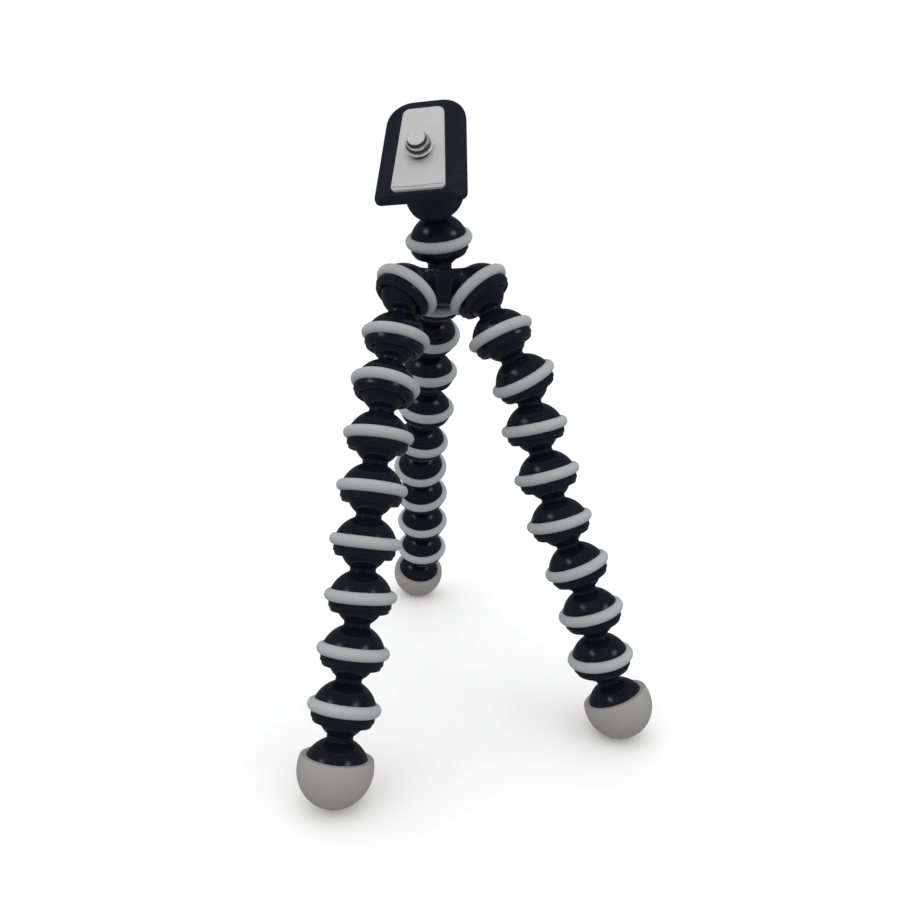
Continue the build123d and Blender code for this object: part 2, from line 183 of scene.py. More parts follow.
class Wire:
    """An output socket in a node tree; arithmetic on it adds Math nodes."""

    def __init__(self, wiring, socket):
        self.wiring = wiring
        self.socket = socket

    def maths(self, operation, first, second=0.0, third=0.0):
        return self.wiring.node("ShaderNodeMath", {0: first, 1: second, 2: third}, operation=operation)

    def __add__(self, other):
        return self.maths("ADD", self, other)

    __radd__ = __add__

    def __sub__(self, other):
        return self.maths("SUBTRACT", self, other)

    def __rsub__(self, other):
        return self.maths("SUBTRACT", other, self)

    def __mul__(self, other):
        return self.maths("MULTIPLY", self, other)

    __rmul__ = __mul__

    def __truediv__(self, other):
        return self.maths("DIVIDE", self, other)

    def __rtruediv__(self, other):
        return self.maths("DIVIDE", other, self)

    def __neg__(self):
        return self.maths("MULTIPLY", self, -1.0)

    def __abs__(self):
        return self.maths("ABSOLUTE", self)

    def higher(self, other):
        return self.maths("MAXIMUM", self, other)

    def lower(self, other):
        return self.maths("MINIMUM", self, other)

    def melt(self, other, softness):
        """Smooth minimum: joins two distances with a rounded valley."""
        return self.maths("SMOOTH_MIN", self, other, softness)

    def carve(self, other, softness):
        """Smooth maximum: keeps what both distances share, with a rounded edge."""
        return self.maths("SMOOTH_MAX", self, other, softness)


class Wiring:
    """Builds one node tree."""

    def __init__(self, tree):
        self.tree = tree

    def node(self, kind, sockets=None, out=0, **settings):
        """Adds a node: settings first, then the values or links of its sockets."""
        made = self.tree.nodes.new(kind)
        for name, value in settings.items():
            setattr(made, name, value)
        for name, value in (sockets or {}).items():
            if isinstance(value, Wire):
                self.tree.links.new(value.socket, made.inputs[name])
            else:
                made.inputs[name].default_value = value
        return Wire(self, made.outputs[out]) if len(made.outputs) else None


class Finish(Wiring):
    """A material under construction, with the textures that its finishes share."""

    def __init__(self, name):
        self.material = bpy.data.materials.new(name)
        self.material.use_nodes = True
        self.material.node_tree.nodes.clear()
        super().__init__(self.material.node_tree)
        self.place = self.node("ShaderNodeTexCoord", out="Object")

    def noise(self, size, detail=3.0, rough=0.5, warp=0.0):
        """Noise from 0 to 1 with features of about the given size in millimetres."""
        return self.node("ShaderNodeTexNoise", {
            "Vector": self.place, "Scale": 1.0 / (size * MM), "Detail": detail, "Roughness": rough,
            "Distortion": warp,
        }, noise_dimensions="3D")

    def cells(self, size):
        """Distance to the nearest of scattered points, whose cells are about the given size."""
        sockets = {"Vector": self.place, "Scale": 1.0 / (size * MM)}
        return self.node("ShaderNodeTexVoronoi", sockets, out="Distance", feature="F1")

    def ramp(self, wire, *stops):
        """Grey ramp over a value, with two stops given as place and shade."""
        shaded = self.node("ShaderNodeValToRGB", {"Fac": wire})
        for stop, (place, shade) in zip(shaded.socket.node.color_ramp.elements, stops):
            stop.position = place
            stop.color = (shade, shade, shade, 1.0)
        return shaded

    def tint(self, factor, first, second):
        """Mixes two colours by a factor."""
        return self.node("ShaderNodeMix", {0: factor, 6: first, 7: second}, out=2, data_type="RGBA")

    def bump(self, height, depth, strength):
        """Bump of the given depth in millimetres."""
        return self.node("ShaderNodeBump", {"Height": height, "Distance": depth * MM, "Strength": strength})

    def surface(self, **values):
        """Ends the tree in a Principled shader and returns the material."""
        sockets = {name.replace("_", " "): value for name, value in values.items()}
        shader = self.node("ShaderNodeBsdfPrincipled", sockets)
        self.node("ShaderNodeOutputMaterial", {"Surface": shader})
        return self.material


def full(colour_values, factor=1.0):
    """RGBA value of a colour, made lighter or darker by a factor."""
    return (*[min(1.0, part * factor) for part in colour_values], 1.0)


def glossy_plastic(shades):
    """Dark moulded plastic: polished, with faint flow marks, smudges and fine scratches."""
    finish = Finish("glossy_plastic")
    flow = finish.noise(9.0, 4.0, 0.55, 0.6)
    smudge = finish.ramp(finish.noise(3.2, 5.0, 0.6, 0.3), (0.38, 0.0), (0.72, 1.0))
    grain = finish.noise(0.35, 3.0)
    speck = 1.0 - finish.ramp(finish.cells(1.7), (0.03, 0.0), (0.07, 1.0))
    base = finish.tint(flow, full(shades.plastic, 0.75), full(shades.plastic, 1.35))
    dusted = finish.tint(speck * 0.10, base, (0.30, 0.30, 0.32, 1.0))
    return finish.surface(
        Base_Color=dusted,
        Roughness=0.12 + smudge * 0.14 + grain * 0.06 + speck * 0.12,
        Specular_IOR_Level=0.45,
        IOR=1.5,
        Coat_Weight=0.15 + 0.1 * flow,
        Coat_Roughness=0.08,
        Normal=finish.bump(flow + grain * 0.05, 0.05, 0.55),
    )


def satin_plastic(shades):
    """Dark plastic with a fine spark eroded grain."""
    finish = Finish("satin_plastic")
    cloud = finish.noise(7.0, 4.0, 0.55)
    grain = finish.noise(0.22, 4.0, 0.6)
    pit = finish.cells(0.3)
    rub = finish.ramp(finish.noise(2.2, 4.0, 0.65), (0.45, 0.0), (0.75, 1.0))
    base = finish.tint(cloud, full(shades.plate_plastic, 0.8), full(shades.plate_plastic, 1.35))
    return finish.surface(
        Base_Color=finish.tint(rub * 0.12, base, (0.06, 0.06, 0.072, 1.0)),
        Roughness=0.40 + grain * 0.14 - rub * 0.06,
        Specular_IOR_Level=0.42,
        Normal=finish.bump(grain + pit * 0.5, 0.012, 0.5),
    )


def rubber(name, shade, roughness, grain_depth, mottle):
    """Moulded rubber: dull, slightly mottled, with a fine grain and the odd dark speck."""
    finish = Finish(name)
    cloud = finish.noise(5.0, 5.0, 0.6, 0.4)
    grain = finish.noise(0.28, 4.0, 0.6)
    pores = finish.cells(0.55)
    grime = finish.ramp(finish.noise(1.4, 6.0, 0.7, 0.8), (0.60, 0.0), (0.80, 1.0))
    base = finish.tint(cloud, full(shade, 1.0 - mottle), full(shade, 1.0 + mottle))
    soiled = finish.tint(grime * 0.16, base, full(shade, 0.45))
    return finish.surface(
        Base_Color=finish.tint(grain * 0.12, soiled, full(shade, 1.25)),
        Roughness=roughness + grain * 0.12 - grime * 0.05,
        Specular_IOR_Level=0.32,
        Sheen_Weight=0.06,
        Sheen_Roughness=0.5,
        Normal=finish.bump(grain + pores * 0.35, grain_depth, 0.5),
    )


def bright_steel(shades):
    """Turned and plated steel with fine lathe marks, small dents and painted shade in the thread's grooves.
    """
    finish = Finish("bright_steel")
    cloud = finish.noise(0.9, 5.0, 0.6)
    marks = finish.noise(0.12, 3.0, 0.6, 1.5)
    dent = finish.ramp(finish.cells(0.55), (0.10, 1.0), (0.34, 0.0))
    crest = finish.node("ShaderNodeAttribute", out="Fac", attribute_name="crest")
    # painted shade: the deeper a point lies in the thread's groove, the closer the steel darkens to a tenth
    # of its colour; crests, the free end and most of the bevel keep the plain steel
    groove_shade_mask = finish.ramp(crest + cloud * 0.3 - 0.15, (0.30, 0.0), (0.85, 1.0))
    unshaded_steel = finish.tint(dent * 0.4 + marks * 0.1, full(shades.steel, 1.15), full(shades.steel, 0.4))
    return finish.surface(
        # the painted groove shade goes into the base colour here
        Base_Color=finish.tint(groove_shade_mask, full(shades.steel, 0.10), unshaded_steel),
        Metallic=0.50,
        Roughness=0.18 + cloud * 0.16 + dent * 0.1,
        Normal=finish.bump(marks * 0.6 + dent * 0.5, 0.03, 0.5),
    )


def white_card(shades):
    """Pale paper sweep under the object."""
    finish = Finish("white_card")
    fibre = finish.noise(60.0, 3.0)
    return finish.surface(
        Base_Color=finish.tint(fibre, full(shades.floor, 0.985), full(shades.floor)),
        Roughness=0.92,
        Specular_IOR_Level=0.1,
    )


finished = {}


def finish_named(name, shades):
    """The material of that name, made on first use."""
    if name in finished:
        return finished[name]
    makers = {
        "glossy_plastic": lambda: glossy_plastic(shades),
        "satin_plastic": lambda: satin_plastic(shades),
        "ring_rubber": lambda: rubber("ring_rubber", shades.band_rubber, 0.58, 0.02, 0.05),
        "foot_rubber": lambda: rubber("foot_rubber", shades.boot_rubber, 0.50, 0.015, 0.04),
        "rest_rubber": lambda: rubber("rest_rubber", shades.pad_rubber, 0.62, 0.02, 0.03),
        "bright_steel": lambda: bright_steel(shades),
        "white_card": lambda: white_card(shades),
    }
    finished[name] = makers[name]()
    return finished[name]


def ball_point(body):
    """Centre of the ball that a body turns on."""
    return Vector(JOINTS[body]["pos_m"])


def hub_point():
    """Centre of the hub's own ball."""
    return ball_point("head")


def down_vector(lean, heading):
    """Unit vector that leans away from straight down."""
    a, b = radians(lean), radians(heading)
    return Vector((sin(a) * cos(b), sin(a) * sin(b), -cos(a)))


def place(point, up, spin=0.0):
    """Matrix that stands a piece at a point, its own z axis along up and its x axis level."""
    z = up.normalized()
    x = Vector((-z.y, z.x, 0.0)).normalized()
    y = z.cross(x)
    turned = Matrix((x, y, z)).transposed().to_4x4()
    return Matrix.Translation(point) @ turned @ Matrix.Rotation(radians(spin), 4, "Z")


def leg_bodies(leg):
    """Names of a leg's bodies from the hub down, with the foot last."""
    return [f"{leg}_link_{k}" for k in range(1, LINKS_PER_LEG + 1)] + [f"{leg}_foot"]


def link_places():
    """Body, matrix at its ball and matrix at its seat, for every link."""
    found = []
    for leg in LEGS:
        bodies = leg_bodies(leg)
        for body, following in zip(bodies, bodies[1:]):
            ball, seat = ball_point(body), ball_point(following)
            found.append((body, place(ball, ball - seat), place(seat, ball - seat)))
    ball, seat = ball_point("plate"), hub_point()
    found.append(("head", place(ball, ball - seat), place(seat, ball - seat)))
    return found


def arm_directions():
    """Unit vectors from the hub's ball along its three arms."""
    return [(ball_point(f"{leg}_link_1") - hub_point()).normalized() for leg in LEGS]


def arm_seats():
    """Matrices at the centres of the hub's three seats."""
    return [place(ball_point(f"{leg}_link_1"), -arm) for leg, arm in zip(LEGS, arm_directions())]


def foot_place(leg):
    """Matrix at a foot's ball."""
    return place(ball_point(f"{leg}_foot"), -down_vector(*FOOT_LEANS[leg]))


def plate_place():
    """Matrix of the camera plate, at the centre of its bowl."""
    return place(ball_point("plate"), Vector(MOUNTS["camera_screw"]["axis"]), PLATE_SPIN)


def arc(centre, radius, start, end, steps):
    """Points of an arc, with angles in degrees from the first axis."""
    turns = [radians(start + (end - start) * k / steps) for k in range(steps + 1)]
    return [(centre[0] + radius * cos(t), centre[1] + radius * sin(t)) for t in turns]


def rounded(corners, steps=6):
    """Runs a line through corners given as (r, z, rounding), with each corner rounded."""
    points = []
    for k, (r, z, size) in enumerate(corners):
        here = Vector((r, z))
        if size <= 0.0 or k in (0, len(corners) - 1):
            points.append((r, z))
            continue
        before = (Vector(corners[k - 1][:2]) - here).normalized()
        after = (Vector(corners[k + 1][:2]) - here).normalized()
        half = before.angle(after) / 2
        reach = size / max(0.001, sin(half)) * cos(half)
        start, end = here + before * reach, here + after * reach
        for j in range(steps + 1):
            t = j / steps
            points.append(tuple(start * (1 - t) ** 2 + here * 2 * t * (1 - t) + end * t**2))
    return points


class Recipe(Wiring):
    """A geometry tree that takes and gives geometry; its other inputs are numbers, or as KINDS says."""
    KINDS = {"Steps": "Int", "Finish": "Material", "Profile": "Object", "Section": "Object",
             "Arm 1": "Vector", "Arm 2": "Vector", "Arm 3": "Vector"}

    def __init__(self, name, *inputs):
        tree = bpy.data.node_groups.new(name, "GeometryNodeTree")
        sockets = [("Geometry", "INPUT", "Geometry"), ("Geometry", "OUTPUT", "Geometry")]
        sockets += [(label, "INPUT", self.KINDS.get(label, "Float")) for label in inputs]
        for label, way, kind in sockets:
            tree.interface.new_socket(name=label, in_out=way, socket_type="NodeSocket" + kind)
        super().__init__(tree)
        self.source = tree.nodes.new("NodeGroupInput")

    def given(self, label="Geometry"):
        """Wire of a named input, or of the geometry that comes in."""
        return Wire(self, self.source.outputs[label])

    def deliver(self, wire, finish):
        """Ends the tree: makes instances real, shades smooth, merges doubles and sets the material."""
        real = self.node("GeometryNodeRealizeInstances", {"Geometry": wire})
        merged = self.node("GeometryNodeMergeByDistance", {"Geometry": real, "Distance": 2 * MERGE})
        smooth = self.node("GeometryNodeSetShadeSmooth", {"Geometry": merged})
        painted = self.node("GeometryNodeSetMaterial", {"Geometry": smooth, "Material": finish})
        self.node("NodeGroupOutput", {0: painted})
        return self.tree


def socket_key(tree, label):
    """Identifier of a tree's named input."""
    for item in tree.interface.items_tree:
        if item.item_type == "SOCKET" and item.in_out == "INPUT" and item.name == label:
            return item.identifier
    raise KeyError(label)


def add_object(name, data):
    """Object of a mesh, light or camera, linked to the scene."""
    made = bpy.data.objects.new(name, data)
    bpy.context.scene.collection.objects.link(made)
    return made


def plain_mesh(name, points, edges=(), faces=()):
    """Mesh of the given points, edges and faces."""
    mesh = bpy.data.meshes.new(name)
    mesh.from_pydata(points, edges, faces)
    return mesh


def line_mesh(name, points, closed):
    """Mesh of a line through points, closed to a ring if so said."""
    edges = [(k, k + 1) for k in range(len(points) - 1)]
    if closed:
        edges.append((len(points) - 1, 0))
    return plain_mesh(name, points, edges)


@contextmanager
def edited(mesh):
    """Lends a mesh as a bmesh and writes it back."""
    work = bmesh.new()
    work.from_mesh(mesh)
    yield work
    work.to_mesh(mesh)
    work.free()


def grow(name, base_mesh, tree, values):
    """Runs a geometry tree on a mesh and returns the result as a plain mesh."""
    carrier = add_object(name + "_carrier", base_mesh)
    modifier = carrier.modifiers.new("Recipe", "NODES")
    modifier.node_group = tree
    for label, value in values.items():
        modifier[socket_key(tree, label)] = value
    carrier.update_tag()
    graph = bpy.context.evaluated_depsgraph_get()
    result = bpy.data.meshes.new_from_object(carrier.evaluated_get(graph), depsgraph=graph)
    carrier.modifiers.remove(modifier)
    bpy.data.objects.remove(carrier)
    if not result.polygons:
        raise RuntimeError(f"{name}: its geometry tree made no faces")
    result.name = name
    return result


def spinning_tree():
    """Tree that turns a profile round an axis and sets one such piece at each point given."""
    name = "Turned pieces"
    if name in bpy.data.node_groups:
        return bpy.data.node_groups[name]
    recipe = Recipe(name, "Profile", "Steps", "Finish")
    profile = recipe.node("GeometryNodeObjectInfo", {"Object": recipe.given("Profile")}, out="Geometry")
    line = recipe.node("GeometryNodeMeshToCurve", {"Mesh": profile})
    circle = {"Resolution": recipe.given("Steps"), "Radius": SPIN_RADIUS}
    ring = recipe.node("GeometryNodeCurvePrimitiveCircle", circle)
    upright = recipe.node("GeometryNodeSetCurveNormal", {"Curve": ring}, mode="Z_UP")
    skin = recipe.node("GeometryNodeCurveToMesh", {"Curve": upright, "Profile Curve": line})
    up = recipe.node("GeometryNodeInputNamedAttribute", {"Name": "up"}, data_type="FLOAT_VECTOR")
    turn = recipe.node("FunctionNodeAlignRotationToVector", {"Vector": up}, axis="Z")
    instances = {"Points": recipe.given(), "Instance": skin, "Rotation": turn}
    set_out = recipe.node("GeometryNodeInstanceOnPoints", instances)
    return recipe.deliver(set_out, recipe.given("Finish"))


def turned_mesh(name, points, closed, places, steps, finish):
    """Mesh of a profile of (r, z) points in metres, turned round the z axis of each of the places."""
    laid_out = [(r - SPIN_RADIUS, -z, 0.0) for r, z in points]
    profile = add_object(name + "_profile", line_mesh(name + "_profile", laid_out, closed))
    stand = plain_mesh(name + "_places", [tuple(matrix.translation) for matrix in places])
    up = stand.attributes.new("up", "FLOAT_VECTOR", "POINT")
    for k, matrix in enumerate(places):
        up.data[k].vector = matrix.col[2].to_3d()
    mesh = grow(name, stand, spinning_tree(), {"Profile": profile, "Steps": steps, "Finish": finish})
    bpy.data.objects.remove(profile)
    return mesh


def joined_mesh(name, *meshes):
    """One mesh of several."""
    joined = bpy.data.meshes.new(name)
    with edited(joined) as work:
        for mesh in meshes:
            work.from_mesh(mesh)
    return joined


def face_outwards(mesh):
    """Turns the faces of closed shells outwards."""
    with edited(mesh) as work:
        bmesh.ops.remove_doubles(work, verts=work.verts, dist=MERGE)
        bmesh.ops.recalc_face_normals(work, faces=work.faces)


def soften_edges(mesh):
    """Smooth shading, with edges kept sharp where faces meet at more than the crease angle."""
    mesh.shade_smooth()
    with edited(mesh) as work:
        for edge in work.edges:
            if len(edge.link_faces) == 2 and edge.calc_face_angle(0.0) > radians(CREASE):
                edge.smooth = False


def make_piece(name, mesh, finish, body, slot, *nodes):
    """Object of a finished mesh that rides on a body and stands for CAD nodes."""
    if name in bpy.data.objects:
        raise RuntimeError(f"{name} was already built")
    face_outwards(mesh)
    soften_edges(mesh)
    mesh.materials.clear()
    mesh.materials.append(finish)
    piece = add_object(name, mesh)
    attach(piece, body)
    if nodes:
        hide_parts(*nodes)


def turned_piece(name, points, closed, places, sizes, finish, body, slot, *nodes):
    """Piece that is a turned profile and nothing else."""
    mesh = turned_mesh(name, points, closed, places, sizes.round_steps, finish)
    make_piece(name, mesh, finish, body, slot, *nodes)


def ball_profile(sizes):
    """Points from a ball's top round to the start of its neck."""
    ball, neck, soft = sizes.ball_radius, sizes.neck_radius, sizes.neck_round
    upper = sqrt((ball + soft) ** 2 - (neck + soft) ** 2)
    end = degrees(asin((neck + soft) / (ball + soft)))
    points = arc((0.0, 0.0), ball, 90, end - 90, BALL_STEPS)
    return points + arc((neck + soft, -upper), soft, 90 + end, 180, FILLET_STEPS)


def neck_profile(sizes, reach, dome_r, dome_stop):
    """Points from a ball's top, down its neck and out over a dome to the given height over its centre."""
    neck, soft = sizes.neck_radius, sizes.neck_round
    lower = sqrt((dome_r + soft) ** 2 - (neck + soft) ** 2)
    start = degrees(asin((neck + soft) / (dome_r + soft)))
    stop = degrees(asin(dome_stop / dome_r))
    points = ball_profile(sizes)
    points += arc((neck + soft, lower - reach), soft, 180, 270 - start, FILLET_STEPS)
    return points + arc((0.0, -reach), dome_r, 90 - start, stop, DOME_STEPS)[1:]


def skirt_profile(sizes, drop):
    """Points from under a band round a socket's lip and up over the seat to the axis."""
    mouth = sizes.skirt_drop - sizes.mouth_flare
    edge = sqrt(sizes.seat_radius**2 - mouth**2)
    low = -sizes.skirt_drop - drop
    groove_top = sizes.band_rise - drop + sizes.band_width * 0.5
    groove_end = groove_top - sizes.band_width
    lip = [
        (sizes.band_seat_radius, groove_top, 0.0),
        (sizes.band_seat_radius, groove_end, 0.0),
        (sizes.skirt_radius, groove_end, 0.15 * MM),
        (sizes.skirt_radius, groove_end - sizes.rim_height, 0.2 * MM),
        (sizes.skirt_radius - sizes.rim_step, groove_end - sizes.rim_height - 0.2 * MM, 0.12 * MM),
        (sizes.lip_radius, low, 0.4 * MM),
        (edge + sizes.mouth_flare, low, 0.08 * MM),
        (edge, low + sizes.mouth_flare, 0.0),
    ]
    start = -degrees(asin(mouth / sizes.seat_radius))
    return rounded(lip, 4) + arc((0.0, -drop), sizes.seat_radius, start, 90, SEAT_STEPS)[1:]


class TRIPOD_OT_links(bpy.types.Operator):
    """Builds the visible plastic of every link: ball, neck, dome, skirt and seat."""
    bl_idname = "tripod.links"
    bl_label = "Build links"

    def execute(self, context):
        sizes, shades = chosen(context)
        plastic = finish_named("glossy_plastic", shades)
        stop = sizes.band_rise + sizes.band_width / 2
        points = neck_profile(sizes, sizes.pitch, sizes.dome_radius, stop)
        points += skirt_profile(sizes, sizes.pitch)
        for body, at_ball, _ in link_places():
            node = "head_link" if body == "head" else body
            turned_piece(
                node + "_shell", points, False, [at_ball], sizes, plastic, body, "body_plastic", node
            )
        return {"FINISHED"}


class TRIPOD_OT_bands(bpy.types.Operator):
    """Builds the rubber band round every link's socket and round the hub's three."""
    bl_idname = "tripod.bands"
    bl_label = "Build bands"

    def execute(self, context):
        sizes, shades = chosen(context)
        grey = finish_named("ring_rubber", shades)
        section = self.profile(sizes)
        for body, _, at_seat in link_places():
            node = "head_band" if body == "head" else body.replace("link", "band")
            turned_piece(node + "_ring", section, True, [at_seat], sizes, grey, body, "band_rubber", node)
        turned_piece("arm_rings", section, True, arm_seats(), sizes, grey, "hub", "band_rubber")
        return {"FINISHED"}

    def profile(self, sizes):
        """Section of a band: flat inside, round outside, with a faint mould line."""
        half, rise = sizes.band_width / 2, sizes.band_rise
        middle, inside = sizes.band_radius - half, sizes.band_seat_radius
        line_rise = 0.025 * MM      # of the mould line over the round of the band
        open_turn, steps = 4, 14    # degrees from its crest to the arcs, and faces along each arc
        outside = arc((middle, rise), half, 90, open_turn, steps) + [(sizes.band_radius + line_rise, rise)]
        outside += arc((middle, rise), half, -open_turn, -90, steps)
        return outside + [(inside, rise - half), (inside, rise + half)]


class TRIPOD_OT_feet(bpy.types.Operator):
    """Builds the plastic cores of the three feet, with the domes that show in the boots."""
    bl_idname = "tripod.feet"
    bl_label = "Build feet"

    def execute(self, context):
        sizes, shades = chosen(context)
        plastic = finish_named("glossy_plastic", shades)
        cut = sizes.foot_dome_reach - sizes.foot_core_end
        points = neck_profile(sizes, sizes.foot_dome_reach, sizes.foot_dome_radius, cut)
        points.append((0.0, -sizes.foot_core_end))
        for leg in LEGS:
            turned_piece(
                f"{leg}_foot_core", points, False, [foot_place(leg)], sizes, plastic,
                f"{leg}_foot", "body_plastic", f"{leg}_foot",
            )
        return {"FINISHED"}


class TRIPOD_OT_boots(bpy.types.Operator):
    """Builds the rubber boots, each with the flat that it stands on."""
    bl_idname = "tripod.boots"
    bl_label = "Build boots"

    def execute(self, context):
        sizes, shades = chosen(context)
        grey = finish_named("foot_rubber", shades)
        section = self.profile(sizes)
        for leg in LEGS:
            name = f"{leg}_boot_shell"
            mesh = turned_mesh(name, section, True, [foot_place(leg)], sizes.round_steps, grey)
            self.stand(mesh)
            make_piece(name, mesh, grey, f"{leg}_foot", "boot_rubber", f"{leg}_boot")
        return {"FINISHED"}

    def profile(self, sizes):
        """Section of a boot: round outside, the core's shape inside, a rolled edge on top."""
        reach, radius, rise = sizes.boot_reach, sizes.boot_radius, sizes.boot_open_rise
        dome, dome_reach = sizes.foot_dome_radius, sizes.foot_dome_reach
        outer_r = sqrt(radius**2 - rise**2)
        inner_z = rise - reach + dome_reach
        inner_r = sqrt(dome**2 - inner_z**2)
        roll_start, roll = 0.4 * MM, 0.375 * MM     # below the upper edge, and the rounding there
        top = degrees(asin((rise - roll_start) / radius))
        points = arc((0.0, -reach), radius, -90, top, BOOT_STEPS)
        corner = [(*points[-1], 0.0), (outer_r, rise - reach, roll), (inner_r, rise - reach, 0.0)]
        points += rounded(corner, 8)[1:]
        start = degrees(asin(inner_z / dome))
        stop = degrees(asin((dome_reach - sizes.foot_core_end) / dome))
        points += arc((0.0, -dome_reach), dome, start, stop, 14)[1:]
        points.append((0.0, -sizes.foot_core_end))
        return points

    def stand(self, mesh):
        """Cuts the boot flat on the floor and closes the cut."""
        with edited(mesh) as work:
            bmesh.ops.remove_doubles(work, verts=work.verts, dist=MERGE)
            cut = bmesh.ops.bisect_plane(
                work, geom=work.verts[:] + work.edges[:] + work.faces[:], dist=0.1 * MERGE,
                plane_co=(0, 0, 0), plane_no=(0, 0, 1), clear_inner=True,
            )
            rim = [part for part in cut["geom_cut"] if isinstance(part, bmesh.types.BMEdge)]
            bmesh.ops.contextual_create(work, geom=rim)


class TRIPOD_OT_hub(bpy.types.Operator):
    """Builds the hub: ball, post, shoulder and three arms that run into each other."""
    bl_idname = "tripod.hub"
    bl_label = "Build hub"

    def execute(self, context):
        sizes, shades = chosen(context)
        plastic = finish_named("glossy_plastic", shades)
        arms = arm_directions()
        axis = -sum(arms, Vector()).normalized()
        at_hub = place(hub_point(), axis)
        inward = at_hub.inverted().to_3x3()
        values = {f"Arm {k + 1}": tuple(inward @ arm * sizes.arm_reach) for k, arm in enumerate(arms)}
        values.update({
            "Dome radius": sizes.dome_radius, "Arm radius": sizes.arm_neck_radius,
            "Core radius": sizes.core_radius, "Core height": sizes.core_height,
            "Shoulder drop": sizes.shoulder_drop, "Seat radius": sizes.seat_radius,
            "Cut rise": sizes.band_rise, "Blend": sizes.web_blend, "Finish": plastic,
        })
        web = grow("hub_web", plain_mesh("hub_seed", [(0, 0, 0)]), self.tree(values), values)
        web.transform(at_hub)
        steps = sizes.round_steps
        post = turned_mesh("hub_post", self.post_profile(sizes), False, [at_hub], steps, plastic)
        skirts = turned_mesh("hub_skirts", self.skirt_ring(sizes), True, arm_seats(), steps, plastic)
        mesh = joined_mesh("hub_shell", web, post, skirts)
        make_piece("hub_shell", mesh, plastic, "hub", "body_plastic", "hub")
        return {"FINISHED"}

    def post_profile(self, sizes):
        """Ball and post, down into the shoulder."""
        low = -sizes.shoulder_drop - POST_SINK
        return ball_profile(sizes) + [(sizes.neck_radius, low), (0.0, low)]

    def skirt_ring(self, sizes):
        """Closed section of a skirt from the middle of its band down to the lip and up along the seat."""
        points = skirt_profile(sizes, 0.0)
        top = sizes.band_rise
        inside = [p for p in points[1:] if p[1] < top]
        return [(sizes.band_seat_radius, top)] + inside + [(sqrt(sizes.seat_radius**2 - top**2), top)]

    def tree(self, labels):
        """Distances to the arms, domes and core, melted together and turned into a surface."""
        recipe = Recipe("Hub web", *labels)
        spot = recipe.node("GeometryNodeInputPosition")

        def vector(operation, *given, out=0, **sockets):
            sockets.update(enumerate(given))
            return recipe.node("ShaderNodeVectorMath", sockets, out, operation=operation)

        core_edge, shoulder_edge = 1.2 * MM, 0.5 * MM
        blend, dome_share = recipe.given("Blend"), 0.35      # of that blend, round the domes
        height = recipe.node("ShaderNodeSeparateXYZ", {"Vector": spot}, out="Z")
        flat = vector("MULTIPLY", spot, (1.0, 1.0, 0.0))
        radial = vector("LENGTH", flat, out="Value")
        top = -recipe.given("Shoulder drop")
        middle = top - recipe.given("Core height") / 2.0
        upright = abs(height - middle) - recipe.given("Core height") / 2.0
        body = (radial - recipe.given("Core radius")).carve(upright, core_edge)
        cavities, domes = None, None
        for label in ("Arm 1", "Arm 2", "Arm 3"):
            arm = recipe.given(label)
            squared = vector("DOT_PRODUCT", arm, arm, out="Value")
            along = vector("DOT_PRODUCT", spot, arm, out="Value") / squared
            share = along.higher(0.25).lower(1.0)       # the arm's first quarter lies in the core
            nearest = vector("SCALE", arm, Scale=share)
            off_axis = vector("LENGTH", vector("SUBTRACT", spot, nearest), out="Value")
            tube = off_axis - recipe.given("Arm radius")
            from_seat = vector("LENGTH", vector("SUBTRACT", spot, arm), out="Value")
            dome = from_seat - recipe.given("Dome radius")
            body = body.melt(tube, blend)
            domes = dome if domes is None else domes.lower(dome)
            reach = vector("LENGTH", arm, out="Value")
            past = along * reach - reach + recipe.given("Cut rise")
            seat = recipe.given("Seat radius") - from_seat
            cut = past.higher(seat)
            cavities = cut if cavities is None else cavities.higher(cut)
        body = body.carve(height - top, shoulder_edge).melt(domes, blend * dome_share).higher(cavities)
        side, ceiling, cell = 27.0 * MM, -3.0 * MM, 0.375 * MM      # of the box that holds the arms
        across, upwards = round(2 * side / cell), round((side + ceiling) / cell)
        grid = recipe.node("GeometryNodeVolumeCube", {
            "Density": body * (-1.0 / MM) + 1.0, "Background": -1.0,
            "Min": (-side, -side, -side), "Max": (side, side, ceiling),
            "Resolution X": across, "Resolution Y": across, "Resolution Z": upwards,
        })
        skin = recipe.node("GeometryNodeVolumeToMesh", {"Volume": grid, "Threshold": 1.0})
        return recipe.deliver(skin, recipe.given("Finish"))


def deck_height(sizes):
    """Height of the plate's flat upper face above the centre of its bowl."""
    return sizes.plate_rise + sizes.wall_height + sizes.slope_height


def plate_outline(sizes, share):
    """Rounded outline between the plate's edge (share 0) and its flat upper face (share 1)."""
    def between(low, high):
        return low + (high - low) * share

    heel = -sizes.plate_heel + between(0.0, sizes.deck_heel_inset)
    tip = sizes.plate_tip - between(0.0, sizes.deck_tip_inset)
    low_half = between(sizes.plate_width, sizes.deck_width) / 2
    high_half = between(sizes.plate_tip_width, sizes.deck_tip_width) / 2
    heel_round = between(sizes.heel_round, sizes.deck_round)
    tip_round = between(sizes.tip_round, sizes.deck_tip_round)
    return corner_ring(low_half, high_half, heel, tip, heel_round, tip_round)


def corner_ring(low_half, high_half, heel, tip, heel_round, tip_round):
    """Points round a tapered rectangle with rounded corners, from its heel's left corner."""
    corners = [(-low_half, heel, heel_round), (low_half, heel, heel_round),
               (high_half, tip, tip_round), (-high_half, tip, tip_round)]
    points = []
    for k, (x, y, size) in enumerate(corners):
        here = Vector((x, y))
        before = (Vector(corners[k - 1][:2]) - here).normalized()
        after = (Vector(corners[(k + 1) % 4][:2]) - here).normalized()
        half = before.angle(after) / 2
        middle = here + (before + after).normalized() * (size / sin(half))
        start = here + before * (size * cos(half) / sin(half)) - middle
        for j in range(CORNER_STEPS + 1):
            turn = (pi - 2 * half) * j / CORNER_STEPS
            points.append(middle + Matrix.Rotation(turn, 2) @ start)
    return points


